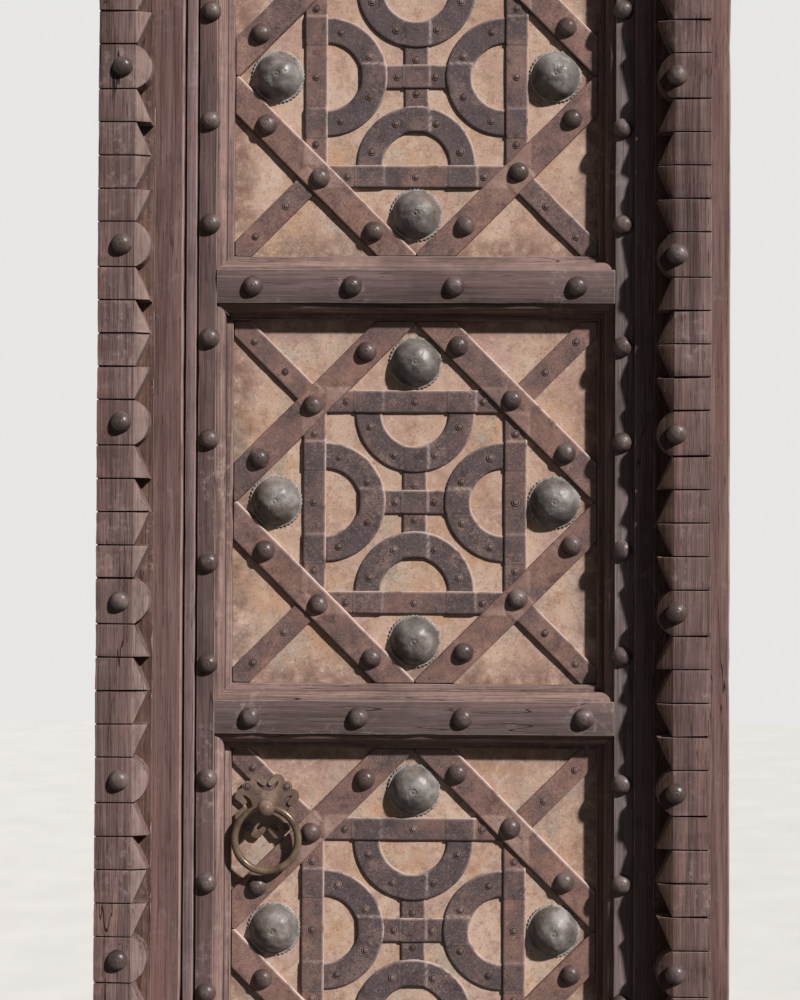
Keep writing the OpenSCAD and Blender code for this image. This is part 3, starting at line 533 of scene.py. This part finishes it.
def worn_copy(name, mat, body, kind, axis, seed, look=None):
    """A copy of a CAD solid with its edges worn round, its faces a little uneven, its arrises chipped and its
    inner corners painted dark as painted shade.

    kind is its row of WEAR, axis runs along its length, and look(face) gives the tint, and the wear with
    painted light, of a face."""
    bevel, step, wave, chip = WEAR[kind]
    bm = bmesh.new()
    bm.from_mesh(nodes[name].data)
    bmesh.ops.remove_doubles(bm, verts=bm.verts, dist=WELD)
    bmesh.ops.dissolve_limit(bm, angle_limit=COPLANAR, verts=bm.verts, edges=bm.edges)
    marked = bm.faces.layers.float.new("tint")
    layer = bm.faces.layers.float.new("wear_and_painted_light")
    bm.normal_update()
    for f in bm.faces:
        f[marked], f[layer] = look(f) if look else (0.0, 0.0)
    # arrises are rubbed pale, inner corners are painted dark as painted shade
    for convex, value in ((True, 1.0), (False, -1.0)):
        bm.normal_update()
        # short edges of holes and arcs would hold back the width of all the others, and rounding the edges
        # that run into the depth would open the mitres
        sharp = [e for e in bm.edges if len(e.link_faces) == 2 and e.is_convex == convex
                 and e.calc_length() > 4 * bevel and e.calc_face_angle(0) > WORN
                 and abs(e.verts[0].co.y - e.verts[1].co.y) < 0.8 * e.calc_length()]
        done = bmesh.ops.bevel(bm, geom=sharp, offset=bevel, segments=2, profile=0.5, affect="EDGES",
                               clamp_overlap=True)
        for f in done["faces"]:
            f[layer] = value
    low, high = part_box(name)
    count = max(1, int((high[axis] - low[axis]) / step))
    normal = [0, 0, 0]
    normal[axis] = 1
    for k in range(1, count):
        at = [0, 0, 0]
        at[axis] = low[axis] + (high[axis] - low[axis]) * k / count
        geom = bm.verts[:] + bm.edges[:] + bm.faces[:]
        bmesh.ops.bisect_plane(bm, geom=geom, dist=1e-6, plane_co=at, plane_no=normal)
    edge_verts = {v for f in bm.faces if f[layer] > 0.5 for v in f.verts}
    shift = Vector((seed * 7.3, seed * 3.1, seed * 5.7))
    bm.normal_update()
    moves = []
    for v in bm.verts:
        d = noise.noise_vector(v.co * 7 + shift) * wave
        d += noise.noise_vector(v.co * 31 + shift) * (wave * 0.35)
        if v in edge_verts:
            n = noise.noise(v.co * 26 + shift) + 0.6 * noise.noise(v.co * 90 + shift)
            d -= v.normal * chip * max(0.0, n - 0.18) * 2.2
        moves.append(d)
    for v, d in zip(bm.verts, moves):
        v.co += d
    me = bpy.data.meshes.new(name + "_worn")
    for f in bm.faces:
        f.smooth = True
    bm.to_mesh(me)
    bm.free()
    if "custom_normal" in me.attributes:
        me.attributes.remove(me.attributes["custom_normal"])
    me.materials.clear()
    me.materials.append(mat)
    me.set_sharp_from_angle(angle=CREASE)
    ob = bpy.data.objects.new(name + "_worn", me)
    scene.collection.objects.link(ob)
    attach(ob, body)
    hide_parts(name)


# Wood

for k, name in enumerate(("latch_jamb", "hinge_jamb")):
    worn_copy(name, M["plank"], "frame", "jamb", UPRIGHT, 10 + k)
for k, name in enumerate(("lintel", "threshold")):
    worn_copy(name, M["beam"], "frame", "beam", ACROSS, 12 + k)
for k, name in enumerate(("latch_stop", "hinge_stop")):
    worn_copy(name, M["bead"], "frame", "stop", UPRIGHT, 14 + k)
worn_copy("head_stop", M["head"], "frame", "stop", ACROSS, 16)
worn_copy("head_strip", M["head"], "frame", "head", ACROSS, 17)
# the slanting faces of the teeth are painted pale on the latch side, a painted highlight where they face the
# light, and painted dark on the hinge side, a painted shade where they face away from it
for k, (name, slant_painted_light) in enumerate((("latch_strip", (0.0, 0.6)), ("hinge_strip", (0.9, -0.55)))):
    worn_copy(name, M["carved"], "frame", "carved", UPRIGHT, 18 + k, carving(slant_painted_light))
for k, (name, wood_name) in enumerate((("latch_stile", "stile"), ("hinge_stile", "grey stile"))):
    worn_copy(name, M[wood_name], "leaf", "leaf", UPRIGHT, 20 + k, sloped)
for k, name in enumerate(("top_rail", "upper_rail", "middle_rail", "lower_rail", "bottom_rail")):
    worn_copy(name, M["rail"], "leaf", "leaf", ACROSS, 22 + k, sloped)
for i in PANELS:
    worn_copy(f"board_{i}", M["board"], "leaf", "board", UPRIGHT, 30 + i)


# Metal sheets and strapwork


def ease(x):
    """Smooth step from 0 to 1."""
    x = min(1.0, max(0.0, x))
    return x * x * (3 - 2 * x)


def lift(distance, height, slope=4.5):
    """How far a strap is raised at a signed distance from the one under it."""
    return height * ease((slope - distance) / slope)


def panel_sheet(i):
    """A panel's sheet: uneven in front except at its edges, darker toward them and less so along its top, flat
    behind.
    """
    low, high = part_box(f"sheet_{i}")
    nx, nz = 64, 64
    less_dark_above = (low[2] + high[2]) / 2 + 0.24
    verts, wear_and_painted_light = [], []
    for b in range(nz + 1):
        for a in range(nx + 1):
            x = low[0] + (high[0] - low[0]) * a / nx
            z = low[2] + (high[2] - low[2]) * b / nz
            inset = min(x - low[0], high[0] - x, z - low[2], high[2] - z)
            p = Vector((x, i * 3.0, z))
            calm = ease((inset - 0.009) / 0.03)
            dents = noise.noise(p * 9) + 0.4 * noise.noise(p * 31)
            y = low[1] + 0.0002 + calm * (0.0009 * dents + 0.0003)
            verts.append((x, max(y, low[1]), z))
            # how much darker the sheet is toward its edges
            wear_and_painted_light.append(ease((0.060 - inset) / 0.045) * (1.0 if z < less_dark_above else 0.6))
    faces = []
    for b in range(nz):
        for a in range(nx):
            k = b * (nx + 1) + a
            faces.append((k, k + 1, k + nx + 2, k + nx + 1))
    back = len(verts)
    for x in (low[0], high[0]):
        for z in (low[2], high[2]):
            verts.append((x, high[1], z))
            wear_and_painted_light.append(1.0)
    faces.append((back, back + 1, back + 3, back + 2))
    last = nz * (nx + 1)
    faces.append((*range(nx, -1, -1), back, back + 2))
    faces.append((*range(last, last + nx + 1), back + 3, back + 1))
    faces.append((*range(0, last + 1, nx + 1), back + 1, back))
    faces.append((*range(last + nx, 0, -nx - 1), back + 2, back + 3))
    make(f"panel_sheet_{i}", verts, faces, SHEETS[i], "leaf", wear_and_painted_light, (f"sheet_{i}",))


def strap(point, span, width, thick, raised, seed, step=3.2, edge=1.3, peak=STRAP_T, rubbed=2.4):
    """One strap in panel millimetres.

    point(s, t) is the place at a length s and an offset t from its middle line, span(t) the ends of s at that
    offset, raised(x, z) the lift over what lies under it, and peak the most of that lift. The attribute of wear
    and painted light is above 0 on edges that face up and to the right, painted pale as a painted highlight,
    below 0 on edges that face down and to the left, painted dark as a painted shade, and above 0 by rubbed
    where the strap climbs, worn pale.
    Returns its points, faces, wear and painted light, and where it passes over others."""
    inner = max(4, int(width / step))
    # place, share of the height and wear of each row across the strap, then of each one along it
    rim = edge / width
    rows = [(-0.5, 0.0, 1), (-0.5, 0.55, 1), (-0.5 + 0.35 * rim, 0.86, 1), (-0.5 + rim, 1.0, 0.8)]
    rows += [(-0.5 + rim + (1 - 2 * rim) * k / inner, 1.0, 0) for k in range(1, inner)]
    rows += [(-t, f, w) for t, f, w in reversed(rows[:4])]
    longest = max(span(r[0] * width)[1] - span(r[0] * width)[0] for r in rows)
    cols = max(6, int(longest / step))
    ends = [(0.0, 0.0, 1), (0.0, 0.8, 1), (edge / longest, 1.0, 0.8)]
    along = ends + [(k / cols, 1.0, 0) for k in range(1, cols)]
    along += [(1 - u, f, w) for u, f, w in reversed(ends)]
    verts, faces, wear_and_painted_light, crossing = [], [], [], []
    off = Vector((seed * 3.7, seed * 1.3, seed * 2.9))
    for u, fu, wu in along:
        for tt, ft, wt in rows:
            t = tt * width
            s0, s1 = span(t)
            x, z = point(s0 + (s1 - s0) * u, t)
            p = Vector((x, z, 0)) * 0.011 + off
            f = min(fu, ft)
            h = thick * f
            if f > 0.1:
                h += raised(x, z) * min(1, f * 1.1)
                h += f * (0.35 * noise.noise(p * 2.2) + 0.22 * noise.noise(p * 7))
            wob = 0.45 * noise.noise(p * 1.6 + Vector((9, 0, 0)))
            if abs(tt) > 0.49:
                wob += 0.3 * noise.noise(p * 9)
            x2, z2 = point(s0 + (s1 - s0) * u, t + wob)
            verts.append((x2, max(h, 0.0), z2))
            x3, z3 = point(s0 + (s1 - s0) * u, t + (0.1 if tt > 0 else -0.1))
            facing = (x3 + z3 - x - z) / 0.1
            over = min(1.0, raised(x, z) / peak)
            # edges facing up and right get a painted highlight, edges facing down and left get a painted shade
            if wt:
                wear_and_painted_light.append(max(-1.0, min(1.0, wt * facing)))
            else:
                wear_and_painted_light.append(max(wu * 0.4, rubbed * over * (1 - over)))
            crossing.append(over)
    n = len(rows)
    for a in range(len(along) - 1):
        for b in range(n - 1):
            k = a * n + b
            faces.append((k, k + n, k + n + 1, k + 1))
        faces.append((a * n + n, a * n, a * n + n - 1, a * n + 2 * n - 1))
    faces.append(tuple(range(n)))
    faces.append(tuple(reversed(range((len(along) - 1) * n, len(along) * n))))
    return verts, faces, wear_and_painted_light, crossing


def group(name, i, parts, replaced, lean, over=0.0):
    """Straps of one kind in panel i. lean is the tone of their metal, a little different on each,
    and over what it gains where they pass over others."""
    rng = random.Random(f"{name} {i}")
    verts, faces, wear_and_painted_light, tone = [], [], [], []
    for pv, pf, pw, crossing in parts:
        base = len(verts)
        verts += [(x * MM, SHEET_Y - h * MM, PANEL_Z[i] + z * MM) for x, h, z in pv]
        faces += [tuple(base + k for k in f) for f in pf]
        wear_and_painted_light += pw
        own = lean + rng.uniform(-0.18, 0.18)
        tone += [own + over * c for c in crossing]
    make(f"{name}_{i}", verts, faces, STRAPS[i], "leaf", wear_and_painted_light, (replaced,), tone)


def turn_to(j, x, y):
    """From the axes of side j of the square to those of the panel."""
    y -= ARCH_C
    for _ in range(j):
        x, y = -y, x
    return x, y


def turn_from(j, x, y):
    """From the axes of the panel to those of side j of the square."""
    for _ in range(j):
        x, y = y, -x
    return x, y + ARCH_C


def flat(_x, _z):
    return 0.0


def cross_bars(i):
    half, w = CROSS_HALF, CROSS_W
    up = strap(lambda s, t: (t, s), lambda t: (-half, half), w, STRAP_T, flat, i)
    across = strap(lambda s, t: (s, -t), lambda t: (-half, half), w, STRAP_T,
                   lambda x, z: lift(abs(x) - w / 2, STRAP_T), i + 0.3)
    group("cross_bars", i, (up, across), f"cross_{i}", 0.18)


def arch_line(s, t):
    """Along an arch: up one leg, round the half ring, down the other leg. t is outward."""
    leg = STRAP_W - 2
    turn = math.pi * ARCH_MID
    r = ARCH_MID + t
    if s < leg:
        return r, s - leg
    if s < leg + turn:
        a = (s - leg) / ARCH_MID
        return r * math.cos(a), r * math.sin(a)
    return -r, -(s - leg - turn)


def arch_straps(i):
    length = 2 * (STRAP_W - 2) + math.pi * ARCH_MID
    parts = []
    for j in range(4):
        def place(s, t, j=j):
            return turn_to(j, *arch_line(s, -t))

        def over(x, z, j=j):
            a, b = turn_from(j, x, z)
            return lift(max(abs(a) - CROSS_W / 2, ARCH_C - CROSS_HALF - b), STRAP_T)
        parts.append(strap(place, lambda t: (0, length), ARCH_W, STRAP_T, over, i * 5 + j))
    group("arch_straps", i, parts, f"arches_{i}", -0.12)


def square_straps(i):
    half = SQUARE_L / 2
    parts = []
    for j in range(4):
        def place(s, t, j=j):
            return turn_to(j, s, -STRAP_W / 2 - t)

        def over(x, z, j=j):
            a, _b = turn_from(j, x, z)
            return lift(abs(abs(a) - ARCH_MID) - ARCH_W / 2, STRAP_T)
        parts.append(strap(place, lambda t: (-half, half), STRAP_W, SQUARE_T, over, i * 7 + j))
    group("square_straps", i, parts, f"square_{i}", 0.45, -0.3)


def clipped(ox, oz, dx, dz):
    """Ends of s, for an offset t, of the line o + d s + n t inside the upper right quarter of a panel."""
    def span(t):
        px, pz = ox + dz * t, oz - dx * t
        lo, hi = -900.0, 900.0
        for p, d, a, b in ((px, dx, 0.15, PANEL_W / 2 - 1), (pz, dz, 0.15, PANEL_H / 2 - 1)):
            if abs(d) > 1e-6:
                e, f = (a - p) / d, (b - p) / d
                lo, hi = max(lo, min(e, f)), min(hi, max(e, f))
        return lo, hi
    return span


def quarter(q, x, z):
    """From the upper right quarter of a panel to quarter q."""
    return (-x if q in (1, 2) else x), (-z if q >= 2 else z)


def corner_straps(i):
    inside = clipped(0, 0, DIAGONAL, DIAGONAL)
    parts = []
    for q in range(4):
        hand = -1 if q in (1, 3) else 1

        def place(s, t, q=q, h=hand):
            return quarter(q, DIAGONAL * s + DIAGONAL * t * h, DIAGONAL * s - DIAGONAL * t * h)

        def ends(t, h=hand):
            return CORNER_START, inside(t * h)[1]
        parts.append(strap(place, ends, STRAP_W, CORNER_T, flat, i * 11 + q))
    group("corner_straps", i, parts, f"corners_{i}", 0.55)


def over_square(x, z):
    """Lift of a wide strap over the corner and square straps beside it."""
    x, z = abs(x), abs(z)
    corner = max(abs(x - z) * DIAGONAL - STRAP_W / 2, CORNER_START - (x + z) * DIAGONAL)
    side = min(max(abs(x - REACH) - STRAP_W / 2, z - SQUARE_L / 2),
               max(abs(z - REACH) - STRAP_W / 2, x - SQUARE_L / 2))
    return max(lift(corner, WIDE_LIFT, 6), lift(side, 1.0, 6))


def diamond_straps(i):
    mid = DIAMOND / 2
    inside = clipped(mid, mid, -DIAGONAL, DIAGONAL)
    parts = []
    for q in range(4):
        hand = -1 if q in (1, 3) else 1

        def place(s, t, q=q, h=hand):
            return quarter(q, mid - DIAGONAL * s + DIAGONAL * t * h, mid + DIAGONAL * s + DIAGONAL * t * h)

        def ends(t, h=hand):
            return inside(t * h)
        parts.append(strap(place, ends, WIDE_W, WIDE_T, over_square, i * 13 + q, edge=2.0, peak=WIDE_LIFT,
                           rubbed=0.6))
    group("diamond_straps", i, parts, f"diamond_{i}", 0.72, 0.40)


for i in PANELS:
    panel_sheet(i)
    cross_bars(i)
    arch_straps(i)
    square_straps(i)
    corner_straps(i)
    diamond_straps(i)


# Bosses, nails and rivets


def boss_form():
    """Domed boss with a toothed rim and a ringed pin in the shallow dish at its top."""
    # the outermost bosses touch the node's box, and their inner rims stand just off the square straps
    outside = (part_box("bosses")[1][0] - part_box("bosses")[0][0]) / 2 / MM
    r = (outside - (ARCH_C + STRAP_W + 0.6)) / 2
    notch = 1 - 2.4 / r
    seg = BOSS_TEETH * 2
    base = r - 4.5
    dish = 6.6
    prof = [(r, 0.0), (r, 1.3), (r - 1.4, 1.9), (base + 0.6, 1.7), (base, 2.0)]
    prof += [(a, max(2.2, h)) for a, h in dome_profile(base, BOSS_H, 16) if dish < a < base - 0.2]
    prof += [(a, BOSS_H - d) for a, d in ((dish, 0.70), (6.1, 0.70), (5.2, 1.1), (4.2, 1.5), (3.3, 1.75),
                                          (3.2, 1.4), (2.6, 1.35), (1.6, 1.4), (1.3, 0.8), (0.7, 0.3))]
    verts, faces = turned(prof, seg)
    out = []
    for n, (x, y, z) in enumerate(verts):
        if n < 3 * seg and n % 2 == 1:
            x, y = x * notch, y * notch
        out.append((x, y, z))
    return out, faces, [1.0 if n < 4 * seg else 0.0 for n in range(len(out))]


def stud_form():
    """Domed nail with a faint ring hammered round its tip, the ring painted pale as a painted highlight."""
    prof = [(STUD_R, 0.0), (STUD_R, 0.7)] + [p for p in dome_profile(STUD_R, STUD_H, 13)[1:] if p[0] > 5.6]
    prof += [(a, STUD_H - d) for a, d in ((5.4, 1.05), (4.6, 1.0), (4.0, 0.45), (3.0, 0.2), (1.4, 0.0))]
    verts, faces = turned(prof, STUD_SEGMENTS)
    return verts, faces, [0.6 if 3.2 < math.hypot(x, y) < 4.4 else 0.0 for x, y, _h in verts]


def rivet_form():
    """Small rivet in a ring with a groove between them. Each step in from the rim has its height and its wear
    with painted light: the foot and the groove are painted dark as painted shade, and the ring's crest and the
    head pale, partly rubbed and partly a painted highlight.
    """
    steps = ((0.0, 0.0, -1.0), (0.0, 0.9, 0.2), (0.7, 1.4, 0.8), (1.6, 1.2, -0.6), (2.1, 0.9, -1.0),
             (2.6, 1.5, -0.4), (3.3, 2.5, 0.5), (4.6, 2.9, 0.4))
    verts, faces = turned([(RIVET_R - a, h) for a, h, _w in steps], RIVET_SEGMENTS)
    return verts, faces, [w for _a, _h, w in steps for _k in range(RIVET_SEGMENTS)] + [0.3]


many("bosses_domed", "bosses", boss_form(), M["boss"], "leaf", 3, 0.0, 0.0)
for name, body in (("strip_studs", "frame"), ("stile_studs", "leaf"), ("rail_studs", "leaf"),
                   ("strap_studs", "leaf")):
    many(name + "_domed", name, stud_form(), M["stud"], body, len(name), 0.05, 0.05)
many("rivets_headed", "rivets", rivet_form(), M["rivet"], "leaf", 9, 0.06, 0.08)


# Ring handle and pivots keep their solids, with softened edges


def soften(name, mat, width):
    ob = nodes[name]
    ob.data.materials.clear()
    ob.data.materials.append(mat)
    weld = ob.modifiers.new("weld", "WELD")
    weld.merge_threshold = WELD
    if width:
        bev = ob.modifiers.new("bevel", "BEVEL")
        bev.width = width
        bev.segments = 2
        bev.limit_method = "ANGLE"
        bev.angle_limit = ROUNDED


for name in ("ring_plate", "ring_knob"):
    soften(name, M["plate"], 0.0005)
soften("pull_ring", M["brass"], 0.0)
for name in ("bottom_socket", "top_socket", "bottom_pivot", "top_pivot"):
    soften(name, M["iron"], 0.0006)


# Floor, light and camera


def seen_ray(tree_nodes, links):
    """1 for a ray that shows the background: from the camera, a gloss or a see-through surface."""
    path = tree_nodes.new("ShaderNodeLightPath")
    seen = path.outputs["Is Camera Ray"]
    for ray in ("Is Glossy Ray", "Is Transmission Ray"):
        either = tree_nodes.new("ShaderNodeMath")
        either.operation = "MAXIMUM"
        links.new(seen, either.inputs[0])
        links.new(path.outputs[ray], either.inputs[1])
        seen = either.outputs[0]
    return seen


def floor():
    t = Tree("pale_floor")
    v = t.scaled((1, 1, 1))
    col = t.ramp(t.noise(v, 3, 4, 0.5), (0.3, (0.50, 0.495, 0.488)), (0.7, (0.54, 0.535, 0.528)))
    col = t.mix(seen_ray(t.nodes, t.links), FLOOR_BOUNCE, col)
    t.finish(col, 0.85, specular=0.2)
    me = bpy.data.meshes.new("floor")
    corners = [(x * FLOOR_HALF, y * FLOOR_HALF, FLOOR_Z) for x, y in ((-1, -1), (1, -1), (1, 1), (-1, 1))]
    me.from_pydata(corners, [], [(0, 1, 2, 3)])
    me.materials.append(t.mat)
    ob = bpy.data.objects.new("floor", me)
    scene.collection.objects.link(ob)


def light():
    world = bpy.data.worlds.new("studio")
    scene.world = world
    world.use_nodes = True
    wn, wl = world.node_tree.nodes, world.node_tree.links
    bg = wn["Background"]
    level = wn.new("ShaderNodeMapRange")
    wl.new(seen_ray(wn, wl), level.inputs["Value"])
    level.inputs["To Min"].default_value = FILL
    level.inputs["To Max"].default_value = BACKGROUND
    wl.new(level.outputs["Result"], bg.inputs["Strength"])
    bg.inputs["Color"].default_value = (1.0, 0.99, 0.98, 1)
    for name, energy, spread, toward in SUNS:
        lamp = bpy.data.lights.new(name, "SUN")
        lamp.energy = energy
        lamp.angle = math.radians(spread)
        lamp.color = SUN_COLOUR
        ob = bpy.data.objects.new(name, lamp)
        ob.rotation_euler = Vector(toward).to_track_quat("-Z", "Y").to_euler()
        scene.collection.objects.link(ob)


def camera():
    data = bpy.data.cameras.new("camera")
    ob = bpy.data.objects.new("camera", data)
    scene.collection.objects.link(ob)
    scene.camera = ob
    data.sensor_fit = "VERTICAL"
    data.sensor_height = SENSOR
    data.lens = SENSOR * CAM_FOCAL
    data.clip_end = 60
    ob.location = CAM_AT
    level = math.cos(CAM_PITCH)
    look = Vector((math.sin(-CAM_YAW) * level, math.cos(CAM_YAW) * level, math.sin(CAM_PITCH)))
    ob.rotation_mode = "QUATERNION"
    ob.rotation_quaternion = look.to_track_quat("-Z", "Y") @ Quaternion((0, 0, 1), CAM_ROLL)


floor()
light()
camera()
